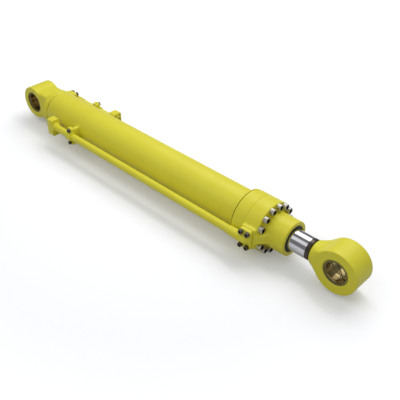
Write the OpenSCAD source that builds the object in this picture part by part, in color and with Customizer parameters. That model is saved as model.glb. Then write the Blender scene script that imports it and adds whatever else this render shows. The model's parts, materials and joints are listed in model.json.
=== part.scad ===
// Double-acting hydraulic cylinder for heavy equipment, retracted.
// Origin at the centre of the cap-end pin bore, +X towards the rod eye,
// +Y along the pin bores, +Z up. The rod-side pipe runs along -Y.

/* [Barrel] */
// Outer diameter of the barrel tube
barrel_d = 160; // [156:1:164]
// Bore of the barrel tube
bore_d = 135; // [133:1:138]
// Distance from the cap pin to the weld seam of the barrel
seam_x = 137; // [134:1:140]
// Distance from the cap pin to the back of the tube flange
flange_back_x = 1246; // [1200:1:1260]
// Thickness of the tube flange
tube_flange_t = 56; // [52:1:60]

/* [Cylinder head] */
// Outer diameter of the two flanges
flange_d = 194; // [194:1:198]
// Thickness of the head's flange
head_flange_t = 62; // [60:1:66]
// Diameter of the head's nose
nose_d = 132; // [128:1:134]
// Length of the head's nose
nose_len = 92; // [90:1:110]
// Length of the head's spigot inside the barrel
spigot_len = 70; // [60:1:80]
// Screw places on the flange's bolt circle
screw_places = 14; // [12:1:14]
// Diameter of the flange's bolt circle
bolt_circle_d = 169; // [168:1:170]

/* [Eyes] */
// Diameter of the pin
pin_d = 80; // [70:1:82]
// Wall of the eye bushes
bush_wall = 7.5; // [6:0.5:8]
// Outer diameter of the cap eye
cap_eye_d = 146; // [140:1:152]
// Width of the cap eye
cap_eye_w = 106; // [100:1:110]
// Outer diameter of the rod eye
rod_eye_d = 165; // [160:1:170]
// Width of the rod eye
rod_eye_w = 95; // [90:1:100]
// Pin-to-pin distance with the rod retracted
closed_len = 1653; // [1640:1:1670]

/* [Rod and piston] */
// Diameter of the rod
rod_d = 80; // [78:1:80]
// Distance from the cap pin to the shoulder where the rod meets its eye
rod_shoulder_x = 1542; // [1535:1:1550]
// Length of the piston
piston_len = 88; // [84:1:92]

/* [Pipes] */
// Outer diameter of the oil pipes
pipe_d = 30; // [28:1:30]
// Bore of the oil pipes
pipe_bore = 20; // [16:1:22]
// Distance of the rod-side pipe from the cylinder's axis
rod_pipe_y = 116; // [115:1:118]
// Distance of the cap-side pipe from the cylinder's axis
cap_pipe_y = 106; // [105:1:108]
// Distance from the cap pin to the middle of the rod-side clamp
rod_clamp_x = 362; // [350:1:400]
// Distance from the cap pin to the middle of the cap-side clamp
cap_clamp_x = 268; // [230:1:300]

/* [Hidden] */
$fn = 96;

// Colours
paint = "#d8d244";
black_oxide = "#26241f";
bronze = "#a98245";
steel = "#8b8d90";
chrome = "#c9ccd1";
rubber = "#1f1f1f";
seal_polymer = "#3d4a3a";

// Barrel and flanges
barrel_r = barrel_d / 2;
bore_r = bore_d / 2;
flange_r = flange_d / 2;
split_x = flange_back_x + tube_flange_t;
front_x = split_x + head_flange_t;
nose_r = nose_d / 2;
nose_end_x = front_x + nose_len;
socket_depth = 16;      // depth of the flange's socket that the tube sits in
seam_groove = 3.5;      // half width and depth of the V groove at a seam
running = 0.05;         // radial clearance of a running fit
loose = 0.4;            // radial clearance where nothing should touch
joint_gap = 0.3;        // clearance between parts that move past each other

// Socket-head cap screws: nominal radius, head radius, head height, across flats
m16 = [8, 12, 16, 14];
m12 = [6, 9, 12, 10];
m10 = [5, 8, 10, 8];
head_screw_len = 94;
head_screw_hole = 8.8;
port_place = floor(screw_places / 2);   // the place left free for the port's rib
screw_r = bolt_circle_d / 2;

// Head bores, from the chamber to the nose
annulus_r = 48;
bush_x0 = front_x - 14;
rod_bush_len = 45;
rod_bush_wall = 2.5;
buffer_x = bush_x0 + rod_bush_len + 5;
buffer_w = 6.3;
rod_seal_x = buffer_x + buffer_w + 6;
rod_seal_w = 10;
seal_groove_r = 47.6;
wiper_depth = 15;
wiper_r = 51;
static_groove_x = split_x - 24;
static_groove_w = 9;
static_groove_r = bore_r - 5;
spigot_clear = 0.1;

// Rod port: pad, elbow and their screw pattern
port_x = (split_x + front_x) / 2;
pad_y = 104;
pad_half_x = 30;
pad_half_z = 42;
port_dx = 27.8;
port_dz = 57.2;
port_screw_depth = 16;
elbow_plate_t = 14;
elbow_r = 18;
elbow_neck_x = port_x - 57;
collar_len = 14;
collar_r = 17.5;

// Hose flange blocks and their screw pattern
hose_dy = 23.8;
hose_dz = 50.8;
hose_half_y = 21;
hose_half_z = 38;
hose_t = 34;
hose_screw_depth = 22;
rod_hose_x = 258;       // face of the rod-side block that the pipe is welded to
cap_hose_x = 374;       // the same face of the cap-side block

// Clamps
clamp_half_x = 15;
clamp_half_z = 39;
clamp_screw_z = 29;
clamp_ear_t = 8;
clamp_split = 4;        // how far the split plane lies inside the pipe's axis
clamp_screw_len = 24;

// Cap end
cap_disc_x0 = 108;
cap_spigot_x = seam_x + 21;
cap_nut_recess_r = 52;
cap_nut_recess_x = 134;
cap_oil_r = 20;
cap_oil_x = 80;
cap_port_x = 106;
cap_boss_y = 84;
cap_boss_half = 27;
cap_neck_x = cap_port_x + 30;

// Eyes
pin_bore_r = pin_d / 2 + running;
bush_r = pin_d / 2 + bush_wall;
eye_seal_w = 6.5;
eye_seal_inset = 9;     // from the eye's face to the end of its bush
nipple_hole_r = 5;

// Rod, piston and nut, retracted
rod_r = rod_d / 2;
piston_x = cap_spigot_x + 2;
piston_end_x = piston_x + piston_len;
piston_r = bore_r - loose;
tail_r = 30;
nut_t = 22;
nut_r = 48;
tail_x = piston_x - nut_t + 1;
seal_w = 16;
seal_depth = 9;
wear_w = 15;
wear_depth = 3;
wear_inset = 10;
neck_r = 43;            // radius of the eye's neck at the rod's shoulder
shoulder_v = 4;         // depth of the V-shaped groove where the rod meets the eye

// ---- helpers ----

// Cylinder along +X from x0, with an optional second radius
module rod_x(x0, len, r, r2 = -1) {
    translate([x0, 0, 0]) rotate([0, 90, 0]) cylinder(h = len, r1 = r, r2 = r2 < 0 ? r : r2);
}

// Cylinder along +Y from y0
module rod_y(y0, len, r, r2 = -1) {
    translate([0, y0, 0]) rotate([-90, 0, 0]) cylinder(h = len, r1 = r, r2 = r2 < 0 ? r : r2);
}

// Ring about the X axis
module ring_x(x0, len, r_in, r_out) {
    difference() {
        rod_x(x0, len, r_out);
        rod_x(x0 - 1, len + 2, r_in);
    }
}

// O-ring about the X axis, seated in a groove that starts at x0
module o_ring_x(x0, section_r, mean_r) {
    translate([x0 + section_r, 0, 0]) rotate([0, 90, 0])
        rotate_extrude() translate([mean_r, 0]) circle(r = section_r, $fn = 24);
}

// Block between two corners
module box(a, b) {
    translate(a) cube(b - a);
}

// Block with its four edges along X rounded
module soft_box_x(a, b, r) {
    box([a.x, a.y + r, a.z], [b.x, b.y - r, b.z]);
    box([a.x, a.y, a.z + r], [b.x, b.y, b.z - r]);
    for (y = [a.y + r, b.y - r], z = [a.z + r, b.z - r])
        translate([0, y, z]) rod_x(a.x, b.x - a.x, r);
}

// Block with its four edges along Y rounded
module soft_box_y(a, b, r) {
    box([a.x + r, a.y, a.z], [b.x - r, b.y, b.z]);
    box([a.x, a.y, a.z + r], [b.x, b.y, b.z - r]);
    for (x = [a.x + r, b.x - r], z = [a.z + r, b.z - r])
        translate([x, 0, z]) rod_y(a.y, b.y - a.y, r);
}

// Socket-head cap screw along +Z: the head stands on z = 0, the shank goes down
module cap_screw(size, len) {
    chamfer = 1;
    difference() {
        union() {
            cylinder(h = size[2] - chamfer, r = size[1]);
            translate([0, 0, size[2] - chamfer]) cylinder(h = chamfer, r1 = size[1], r2 = size[1] - chamfer);
            translate([0, 0, chamfer - len]) cylinder(h = len - chamfer, r = size[0]);
            translate([0, 0, -len]) cylinder(h = chamfer, r1 = size[0] - chamfer, r2 = size[0]);
        }
        translate([0, 0, size[2] / 2]) cylinder(h = size[2], r = size[3] / 2 / cos(30), $fn = 6);
    }
}

// Places of the flange screws, each with its own +X axis
module at_head_screws() {
    for (i = [0 : screw_places - 1])
        if (i != port_place)
            rotate([i * 360 / screw_places, 0, 0]) translate([0, screw_r, 0]) children();
}

// The four corners of a rectangle of holes in the plane across Y
module at_corners_y(dx, dz) {
    for (x = [-dx / 2, dx / 2], z = [-dz / 2, dz / 2]) translate([x, 0, z]) children();
}

// Grease nipple along +Z: hexagon on z = 0, thread below, ball head above
module grease_nipple() {
    translate([0, 0, -6]) cylinder(h = 6, r = nipple_hole_r, $fn = 48);
    cylinder(h = 5, r = 11 / 2 / cos(30), $fn = 6);
    translate([0, 0, 5]) cylinder(h = 4, r1 = 4, r2 = 2.4, $fn = 48);
    translate([0, 0, 9]) cylinder(h = 2.2, r1 = 2.4, r2 = 3.3, $fn = 48);
    translate([0, 0, 11.2]) cylinder(h = 1.8, r1 = 3.3, r2 = 2, $fn = 48);
}

// Bush of an eye of width w, with its grease hole in the direction dir
module eye_bush(w, dir) {
    half = w / 2 - eye_seal_inset;
    difference() {
        rod_y(-half, 2 * half, bush_r);
        rod_y(-half - 1, 2 * half + 2, pin_bore_r);
        rotate(dir) cylinder(h = bush_r + 1, r = 2.5, $fn = 32);
    }
}

// The two dust seals of an eye of width w
module eye_dust_seals(w) {
    for (side = [0, 1])
        mirror([0, side, 0]) difference() {
            rod_y(w / 2 - eye_seal_inset, eye_seal_w, bush_r);
            rod_y(w / 2 - eye_seal_inset - 1, eye_seal_w + 2, pin_d / 2 + 0.8);
        }
}

// Bore, chamfers, spot face and grease hole of an eye
module eye_cuts(w, outer_r, chamfer, dir) {
    rod_y(-w / 2 - 1, w + 2, bush_r);
    for (side = [0, 1])
        mirror([0, side, 0]) rod_y(w / 2 - chamfer, chamfer + 0.01, bush_r, bush_r + chamfer);
    rotate(dir) {
        translate([0, 0, outer_r - 1.5]) cylinder(h = 10, r = 9, $fn = 48);
        translate([0, 0, outer_r - 9]) cylinder(h = 10, r = nipple_hole_r, $fn = 48);
        cylinder(h = outer_r, r = 2.5, $fn = 32);
    }
}

// Eye with its outer edges chamfered, axis along Y
module eye_blank(w, r, chamfer) {
    rod_y(-w / 2 + chamfer, w - 2 * chamfer, r);
    for (side = [0, 1])
        mirror([0, side, 0]) rod_y(w / 2 - chamfer, chamfer, r, r - chamfer);
}

// Directions of the two grease nipples: back from the cap eye, down from the rod eye
cap_nipple_dir = [0, -90, 0];
rod_nipple_dir = [180, 0, 0];

// ---- barrel ----

module barrel_tube() {
    color(paint) difference() {
        rod_x(seam_x, flange_back_x + socket_depth - seam_x, barrel_r);
        rod_x(seam_x - 1, closed_len, bore_r);
        difference() {
            rod_x(seam_x - 1, seam_groove + 1, barrel_r + 1);
            rod_x(seam_x - 1, seam_groove + 1, barrel_r - seam_groove - 1, barrel_r);
        }
    }
}

module tube_flange() {
    edge = 1.5;
    color(paint) difference() {
        union() {
            rod_x(flange_back_x, edge, flange_r - edge, flange_r);
            rod_x(flange_back_x + edge, tube_flange_t - 1 - edge, flange_r);
            rod_x(split_x - 1, 1, flange_r, flange_r - 1);
        }
        rod_x(flange_back_x - 1, socket_depth + 1, barrel_r);
        rod_x(flange_back_x, tube_flange_t + 1, bore_r);
        at_head_screws() rod_x(split_x - 36, 37, m16[0]);
    }
}

// ---- cap end ----

module cap_end() {
    color(paint) difference() {
        union() {
            eye_blank(cap_eye_w, cap_eye_d / 2, 2.5);
            // neck with flat cheeks, rounded off to the disc
            intersection() {
                box([0, -cap_eye_w / 2 + 1, -cap_eye_d / 2 + 8],
                    [cap_disc_x0 + 1, cap_eye_w / 2 - 1, cap_eye_d / 2 - 8]);
                rod_x(0, cap_disc_x0 + 1, barrel_r - 3);
            }
            rod_x(cap_disc_x0 - 14, 14, barrel_r - 22, barrel_r - 5);
            rod_x(cap_disc_x0, 4, barrel_r - 4, barrel_r);
            rod_x(cap_disc_x0 + 4, seam_x - cap_disc_x0 - 4 - seam_groove, barrel_r);
            rod_x(seam_x - seam_groove, seam_groove, barrel_r, barrel_r - seam_groove);
            rod_x(seam_x - 1, cap_spigot_x - seam_x + 1, bore_r);
            // boss that carries the port elbow
            soft_box_y([cap_port_x - cap_boss_half, 0, -pad_half_z],
                [cap_port_x + cap_boss_half, cap_boss_y, pad_half_z], 8);
        }
        eye_cuts(cap_eye_w, cap_eye_d / 2, 2.5, cap_nipple_dir);
        rod_x(cap_nut_recess_x, closed_len, cap_nut_recess_r);
        rod_x(cap_oil_x, closed_len, cap_oil_r);
        // port and the four tapped holes round it
        translate([cap_port_x, 0, 0]) {
            rod_y(0, cap_boss_y + 1, pipe_bore / 2);
            at_corners_y(port_dx, port_dz) rod_y(cap_boss_y - port_screw_depth, port_screw_depth + 1, m12[0]);
        }
    }
}

module cap_eye_bush() {
    color(bronze) eye_bush(cap_eye_w, cap_nipple_dir);
}

module cap_eye_dust_seals() {
    color(rubber) eye_dust_seals(cap_eye_w);
}

module cap_grease_nipple() {
    color(steel) rotate(cap_nipple_dir) translate([0, 0, cap_eye_d / 2 - 1.5]) grease_nipple();
}

// ---- head ----

module cylinder_head() {
    edge = 3;
    rib_half = 22;
    color(paint) difference() {
        union() {
            rod_x(split_x, 1, flange_r - 1, flange_r);
            rod_x(split_x + 1, head_flange_t - 2, flange_r);
            rod_x(front_x - 1, 1, flange_r, flange_r - 1);
            rod_x(front_x - 1, nose_len + 1 - edge, nose_r);
            rod_x(nose_end_x - edge, edge, nose_r, nose_r - edge);
            rod_x(front_x, 8, nose_r + 5, nose_r);
            rod_x(split_x - spigot_len, spigot_len + 1, bore_r - spigot_clear);
            // port pad on the side of the flange
            soft_box_y([port_x - pad_half_x, -pad_y, -pad_half_z], [port_x + pad_half_x, -60, pad_half_z], 8);
            // rib from the pad to the nose, over the free screw place
            hull() {
                box([front_x - 2, -pad_y + 3, -rib_half], [front_x, -60, rib_half]);
                box([front_x + 24, -nose_r - 1, -rib_half + 6], [front_x + 28, -50, rib_half - 6]);
            }
        }
        at_head_screws() rod_x(split_x - 1, head_flange_t + 2, head_screw_hole);
        // bores from the chamber to the nose
        rod_x(split_x - spigot_len - 1, bush_x0 - split_x + spigot_len + 1, annulus_r);
        rod_x(bush_x0 - 1, rod_bush_len + 1, rod_r + rod_bush_wall + running);
        rod_x(split_x, closed_len, rod_r + loose);
        rod_x(buffer_x, buffer_w, seal_groove_r);
        rod_x(rod_seal_x, rod_seal_w, seal_groove_r);
        rod_x(nose_end_x - wiper_depth, wiper_depth + 1, wiper_r);
        // static seal groove in the spigot
        difference() {
            rod_x(static_groove_x, static_groove_w, bore_r + 1);
            rod_x(static_groove_x - 1, static_groove_w + 2, static_groove_r);
        }
        // port and the four tapped holes round it
        translate([port_x, 0, 0]) {
            rod_y(-pad_y - 1, pad_y + 1 - rod_r, pipe_bore / 2);
            at_corners_y(port_dx, port_dz) rod_y(-pad_y - 1, port_screw_depth + 1, m12[0]);
        }
    }
}

module head_screws() {
    color(black_oxide) at_head_screws()
        translate([front_x, 0, 0]) rotate([0, 90, 0]) cap_screw(m16, head_screw_len);
}

module head_o_ring() {
    section = (bore_r - static_groove_r) / 2;
    color(rubber) o_ring_x(static_groove_x + 0.2, section, static_groove_r + section);
}

module head_backup_ring() {
    color(seal_polymer) ring_x(static_groove_x + 6, 2.5, static_groove_r, bore_r - spigot_clear);
}

module rod_bush() {
    color(bronze) ring_x(bush_x0, rod_bush_len, rod_r + running, rod_r + rod_bush_wall + running);
}

module buffer_seal() {
    color(seal_polymer) ring_x(buffer_x, buffer_w, rod_r + running, seal_groove_r);
}

// U-cup: a ring with a V notch that faces the pressure
module rod_seal() {
    mid = (rod_r + seal_groove_r) / 2;
    color(seal_polymer) difference() {
        ring_x(rod_seal_x, rod_seal_w, rod_r + running, seal_groove_r);
        translate([rod_seal_x, 0, 0]) rotate([0, 90, 0])
            rotate_extrude() polygon([[mid - 1.8, -0.1], [mid + 1.8, -0.1], [mid, 5]]);
    }
}

// Wiper with a lip that leans on the rod
module rod_wiper() {
    x0 = nose_end_x - wiper_depth;
    color(rubber) translate([x0, 0, 0]) rotate([0, 90, 0]) rotate_extrude()
        polygon([
            [rod_r + 1.2, 0], [wiper_r, 0], [wiper_r, 13], [rod_r + 5, 13],
            [rod_r + 2.4, 14.5], [rod_r + running, 14.5], [rod_r + 1.2, 8]
        ]);
}

// ---- rod-side pipework, along -Y ----

module rod_port_elbow() {
    plate_y = -pad_y - elbow_plate_t;
    color(paint) difference() {
        union() {
            translate([port_x, 0, 0])
                soft_box_y([-25, plate_y, -40], [25, -pad_y, 40], 9);
            translate([0, -rod_pipe_y, 0]) {
                rod_x(elbow_neck_x, port_x - elbow_neck_x, elbow_r);
                translate([port_x, 0, 0]) sphere(r = elbow_r);
            }
            translate([port_x, 0, 0]) rod_y(-rod_pipe_y, rod_pipe_y - pad_y, elbow_r);
        }
        // flat that lies on the pad
        box([port_x - pad_half_x - 1, -pad_y, -elbow_r], [port_x + pad_half_x, 0, elbow_r]);
        translate([0, -rod_pipe_y, 0]) rod_x(elbow_neck_x - 1, port_x - elbow_neck_x + 1, pipe_bore / 2);
        translate([port_x, 0, 0]) {
            translate([0, -rod_pipe_y, 0]) sphere(r = pipe_bore / 2);
            rod_y(-rod_pipe_y, rod_pipe_y, pipe_bore / 2);
            at_corners_y(port_dx, port_dz) rod_y(plate_y - 1, elbow_plate_t + 2, m12[0] + 0.6);
            // face groove of the O-ring
            difference() {
                rod_y(-pad_y - 2.6, 3, 17);
                rod_y(-pad_y - 3, 4, 13);
            }
        }
    }
}

module rod_port_o_ring() {
    color(rubber) translate([port_x, -pad_y - 1.3, 0]) rotate([-90, 0, 0])
        rotate_extrude() translate([15, 0]) circle(r = 1.3, $fn = 24);
}

module rod_port_screws() {
    color(black_oxide) translate([port_x, -pad_y - elbow_plate_t, 0])
        at_corners_y(port_dx, port_dz) rotate([90, 0, 0]) cap_screw(m12, elbow_plate_t + 14);
}

module rod_pipe() {
    color(paint) translate([0, -rod_pipe_y, 0]) difference() {
        union() {
            rod_x(rod_hose_x, elbow_neck_x - rod_hose_x, pipe_d / 2);
            rod_x(elbow_neck_x - collar_len, collar_len, collar_r);
        }
        rod_x(rod_hose_x - 1, elbow_neck_x - rod_hose_x + 2, pipe_bore / 2);
    }
}

// Hose flange block: the pipe comes in on its +X face, the hose bolts on its -X face
module hose_flange() {
    difference() {
        union() {
            soft_box_x([-hose_t, -hose_half_y, -hose_half_z], [0, hose_half_y, hose_half_z], 9);
            rod_x(-1, 9, pipe_d / 2 + 5, pipe_d / 2 + 2);
        }
        rod_x(-hose_t - 1, hose_t + 1.01, pipe_bore / 2);
        rod_x(0, 10, pipe_d / 2);
        for (y = [-hose_dy / 2, hose_dy / 2], z = [-hose_dz / 2, hose_dz / 2])
            translate([0, y, z]) rod_x(-hose_t - 1, hose_screw_depth + 1, m10[0] - 0.75);
    }
}

module rod_hose_flange() {
    color(paint) translate([rod_hose_x, -rod_pipe_y, 0]) hose_flange();
}

// Weld-on half of a clamp at x for a pipe at distance y on +Y
module clamp_base(x, y) {
    split = y - clamp_split;
    difference() {
        box([x - clamp_half_x, barrel_r - 16, -clamp_half_z + 2], [x + clamp_half_x, split, clamp_half_z - 2]);
        rod_x(x - clamp_half_x - 1, 2 * clamp_half_x + 2, barrel_r);
        translate([0, y, 0]) rod_x(x - clamp_half_x - 1, 2 * clamp_half_x + 2, pipe_d / 2);
        for (z = [-clamp_screw_z, clamp_screw_z])
            translate([x, 0, z]) rod_y(split - clamp_screw_len + clamp_ear_t - 1, clamp_screw_len, m10[0]);
    }
}

// Saddle that holds the pipe down, with an ear for each screw
module clamp_saddle(x, y) {
    split = y - clamp_split;
    difference() {
        union() {
            soft_box_y([x - clamp_half_x, split, -clamp_half_z],
                [x + clamp_half_x, split + clamp_ear_t, clamp_half_z], 7);
            intersection() {
                translate([0, y, 0]) rod_x(x - clamp_half_x, 2 * clamp_half_x, pipe_d / 2 + 5);
                box([x - clamp_half_x, split, -clamp_half_z], [x + clamp_half_x, y + pipe_d, clamp_half_z]);
            }
        }
        translate([0, y, 0]) rod_x(x - clamp_half_x - 1, 2 * clamp_half_x + 2, pipe_d / 2);
        for (z = [-clamp_screw_z, clamp_screw_z])
            translate([x, 0, z]) rod_y(split - 1, clamp_ear_t + 2, m10[0] + 0.5);
    }
}

module clamp_screws(x, y) {
    for (z = [-clamp_screw_z, clamp_screw_z])
        translate([x, y - clamp_split + clamp_ear_t, z]) rotate([-90, 0, 0]) cap_screw(m10, clamp_screw_len);
}

module rod_clamp_base() {
    color(paint) mirror([0, 1, 0]) clamp_base(rod_clamp_x, rod_pipe_y);
}

module rod_clamp_saddle() {
    color(paint) mirror([0, 1, 0]) clamp_saddle(rod_clamp_x, rod_pipe_y);
}

module rod_clamp_screws() {
    color(black_oxide) mirror([0, 1, 0]) clamp_screws(rod_clamp_x, rod_pipe_y);
}

// ---- cap-side pipework, along +Y ----

module cap_port_elbow() {
    color(paint) difference() {
        union() {
            translate([cap_port_x, 0, 0])
                soft_box_y([-25, cap_boss_y, -40], [25, cap_boss_y + elbow_plate_t, 40], 9);
            translate([0, cap_pipe_y, 0]) {
                rod_x(cap_port_x, cap_neck_x - cap_port_x, elbow_r);
                translate([cap_port_x, 0, 0]) sphere(r = elbow_r);
            }
        }
        translate([0, cap_pipe_y, 0]) rod_x(cap_port_x, 60, pipe_bore / 2);
        translate([cap_port_x, 0, 0]) {
            translate([0, cap_pipe_y, 0]) sphere(r = pipe_bore / 2);
            rod_y(cap_boss_y - 1, cap_pipe_y - cap_boss_y + 1, pipe_bore / 2);
            at_corners_y(port_dx, port_dz) rod_y(cap_boss_y - 1, elbow_plate_t + 2, m12[0] + 0.6);
            // face groove of the O-ring
            difference() {
                rod_y(cap_boss_y - 0.4, 3, 17);
                rod_y(cap_boss_y - 1, 4, 13);
            }
        }
    }
}

module cap_port_o_ring() {
    color(rubber) translate([cap_port_x, cap_boss_y + 1.3, 0]) rotate([-90, 0, 0])
        rotate_extrude() translate([15, 0]) circle(r = 1.3, $fn = 24);
}

module cap_port_screws() {
    color(black_oxide) translate([cap_port_x, cap_boss_y + elbow_plate_t, 0])
        at_corners_y(port_dx, port_dz) rotate([-90, 0, 0]) cap_screw(m12, elbow_plate_t + 14);
}

module cap_pipe() {
    color(paint) translate([0, cap_pipe_y, 0]) difference() {
        union() {
            rod_x(cap_neck_x, cap_hose_x - cap_neck_x, pipe_d / 2);
            rod_x(cap_neck_x + 12, collar_len, collar_r);
        }
        rod_x(cap_neck_x - 1, cap_hose_x - cap_neck_x + 2, pipe_bore / 2);
    }
}

module cap_hose_flange() {
    color(paint) translate([cap_hose_x, cap_pipe_y, 0]) mirror([1, 0, 0]) hose_flange();
}

module cap_clamp_base() {
    color(paint) clamp_base(cap_clamp_x, cap_pipe_y);
}

module cap_clamp_saddle() {
    color(paint) clamp_saddle(cap_clamp_x, cap_pipe_y);
}

module cap_clamp_screws() {
    color(black_oxide) clamp_screws(cap_clamp_x, cap_pipe_y);
}

// ---- rod and piston ----

module piston_rod() {
    color(chrome) {
        rod_x(piston_end_x + 3, rod_shoulder_x - piston_end_x - 3 - shoulder_v, rod_r);
        rod_x(rod_shoulder_x - shoulder_v, shoulder_v, rod_r, rod_r - shoulder_v);
        rod_x(piston_end_x, 3, rod_r - 3, rod_r);
        difference() {
            rod_x(tail_x, piston_end_x - tail_x + 1, tail_r);
            // groove of the O-ring between rod and piston
            difference() {
                rod_x(piston_end_x - 30, 5, tail_r + 1);
                rod_x(piston_end_x - 31, 7, tail_r - 3.2);
            }
        }
    }
}

module piston_o_ring() {
    color(rubber) o_ring_x(piston_end_x - 29.1, 1.6, tail_r - 1.6);
}

module rod_eye() {
    r = rod_eye_d / 2;
    fillet = 60;
    neck_z = neck_r + 1;
    reach = sqrt(pow(r + fillet, 2) - pow(neck_z + fillet, 2));
    touch_x = closed_len - reach * r / (r + fillet);
    touch_z = (neck_z + fillet) * r / (r + fillet);
    color(paint) difference() {
        union() {
            translate([closed_len, 0, 0]) eye_blank(rod_eye_w, r, 2.5);
            // neck: flat cheeks and filleted edges, cut to a flared round towards the rod
            intersection() {
                difference() {
                    box([rod_shoulder_x, -rod_eye_w / 2 + 1, -touch_z],
                        [closed_len, rod_eye_w / 2 - 1, touch_z]);
                    for (side = [-1, 1])
                        translate([closed_len - reach, 0, side * (neck_z + fillet)])
                            rod_y(-rod_eye_w, 2 * rod_eye_w, fillet);
                }
                union() {
                    rod_x(rod_shoulder_x, 5, rod_r - shoulder_v, neck_r);
                    rod_x(rod_shoulder_x + 5, 20, neck_r, neck_r + 9);
                    rod_x(rod_shoulder_x + 25, 30, neck_r + 9, neck_r + 40);
                    rod_x(touch_x, closed_len - touch_x, r);
                    rod_x(rod_shoulder_x + 55, closed_len - rod_shoulder_x - 55, neck_r + 40);
                }
            }
        }
        translate([closed_len, 0, 0]) eye_cuts(rod_eye_w, r, 4, rod_nipple_dir);
    }
}

module rod_eye_bush() {
    color(bronze) translate([closed_len, 0, 0]) eye_bush(rod_eye_w, rod_nipple_dir);
}

module rod_eye_dust_seals() {
    color(rubber) translate([closed_len, 0, 0]) eye_dust_seals(rod_eye_w);
}

module rod_grease_nipple() {
    color(steel) translate([closed_len, 0, 0]) rotate(rod_nipple_dir)
        translate([0, 0, rod_eye_d / 2 - 1.5]) grease_nipple();
}

// Start of the two wear ring grooves
function wear_x() = [piston_x + wear_inset, piston_end_x - wear_inset - wear_w];

// Start of the piston seal groove
function seal_x() = (piston_x + piston_end_x - seal_w) / 2;

module piston() {
    color(steel) difference() {
        union() {
            rod_x(piston_x, 2, piston_r - 2, piston_r);
            rod_x(piston_x + 2, piston_len - 4, piston_r);
            rod_x(piston_end_x - 2, 2, piston_r, piston_r - 2);
        }
        rod_x(piston_x - 1, piston_len + 2, tail_r);
        difference() {
            rod_x(seal_x(), seal_w, bore_r);
            rod_x(seal_x() - 1, seal_w + 2, piston_r - seal_depth);
        }
        for (x = wear_x()) difference() {
            rod_x(x, wear_w, bore_r);
            rod_x(x - 1, wear_w + 2, piston_r - wear_depth);
        }
    }
}

module piston_nut() {
    slot_w = 12;
    color(steel) difference() {
        rod_x(piston_x - nut_t, nut_t, nut_r);
        rod_x(piston_x - nut_t - 1, nut_t + 2, tail_r);
        for (i = [0 : 3]) rotate([45 + 90 * i, 0, 0])
            box([piston_x - nut_t - 1, nut_r - 6, -slot_w / 2], [piston_x - 8, nut_r + 1, slot_w / 2]);
        translate([piston_x - nut_t / 2, 0, 0]) cylinder(h = nut_r + 1, r = m10[0], $fn = 48);
    }
}

module nut_set_screw() {
    color(black_oxide) translate([piston_x - nut_t / 2, 0, tail_r]) difference() {
        cylinder(h = 14, r = m10[0], $fn = 48);
        translate([0, 0, 9]) cylinder(h = 6, r = 5 / 2 / cos(30), $fn = 6);
    }
}

module piston_seal() {
    color(seal_polymer) ring_x(seal_x() + joint_gap, seal_w - 2 * joint_gap,
        piston_r - seal_depth + joint_gap, bore_r - running);
}

module piston_wear_rings() {
    color(seal_polymer) for (x = wear_x())
        ring_x(x + joint_gap, wear_w - 2 * joint_gap, piston_r - wear_depth + joint_gap, bore_r - running);
}

barrel_tube();
tube_flange();
cap_end();
cap_eye_bush();
cap_eye_dust_seals();
cap_grease_nipple();
cylinder_head();
head_screws();
head_o_ring();
head_backup_ring();
rod_bush();
buffer_seal();
rod_seal();
rod_wiper();
cap_port_elbow();
cap_port_o_ring();
cap_port_screws();
cap_pipe();
cap_hose_flange();
cap_clamp_base();
cap_clamp_saddle();
cap_clamp_screws();
rod_port_elbow();
rod_port_o_ring();
rod_port_screws();
rod_pipe();
rod_hose_flange();
rod_clamp_base();
rod_clamp_saddle();
rod_clamp_screws();
piston_rod();
rod_eye();
rod_eye_bush();
rod_eye_dust_seals();
rod_grease_nipple();
piston();
piston_nut();
nut_set_screw();
piston_o_ring();
piston_seal();
piston_wear_rings();
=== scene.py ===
"""Hydraulic cylinder with pin eyes, a bolted head and oil pipes, on a pale studio floor.

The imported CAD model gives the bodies, the joints and every place. Shapes are worked out in
millimetres, in the frame of the model, and a mesh is scaled to metres when it is made.
"""

import json
import math

import bmesh
import bpy
import numpy as np
from mathutils import Matrix, Vector


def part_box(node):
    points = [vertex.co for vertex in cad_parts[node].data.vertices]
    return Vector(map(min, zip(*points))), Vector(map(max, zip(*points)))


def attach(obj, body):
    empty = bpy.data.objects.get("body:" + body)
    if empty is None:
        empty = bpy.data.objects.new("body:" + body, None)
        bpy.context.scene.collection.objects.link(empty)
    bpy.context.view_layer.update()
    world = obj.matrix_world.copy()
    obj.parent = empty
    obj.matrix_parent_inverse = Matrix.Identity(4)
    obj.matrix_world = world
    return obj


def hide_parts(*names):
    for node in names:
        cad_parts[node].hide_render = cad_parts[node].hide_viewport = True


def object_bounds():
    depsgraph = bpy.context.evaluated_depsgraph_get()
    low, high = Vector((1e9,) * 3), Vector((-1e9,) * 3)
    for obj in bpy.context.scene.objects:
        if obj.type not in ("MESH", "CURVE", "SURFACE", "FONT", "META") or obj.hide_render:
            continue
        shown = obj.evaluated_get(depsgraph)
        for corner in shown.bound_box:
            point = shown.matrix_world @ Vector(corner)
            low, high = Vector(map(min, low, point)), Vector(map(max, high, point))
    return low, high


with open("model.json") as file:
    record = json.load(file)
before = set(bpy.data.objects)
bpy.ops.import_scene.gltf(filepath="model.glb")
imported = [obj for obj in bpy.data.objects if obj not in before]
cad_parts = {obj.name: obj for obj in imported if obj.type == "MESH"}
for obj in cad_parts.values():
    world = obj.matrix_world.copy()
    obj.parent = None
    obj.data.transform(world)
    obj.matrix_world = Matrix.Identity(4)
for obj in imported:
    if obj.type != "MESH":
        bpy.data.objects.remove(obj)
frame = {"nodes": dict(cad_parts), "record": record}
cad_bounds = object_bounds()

MM = 0.001


# ---- places, from the frame ----


def box(node):
    """Lowest and highest corner of a CAD node, in millimetres."""
    low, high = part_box(node)
    return Vector(low) / MM, Vector(high) / MM


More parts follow.
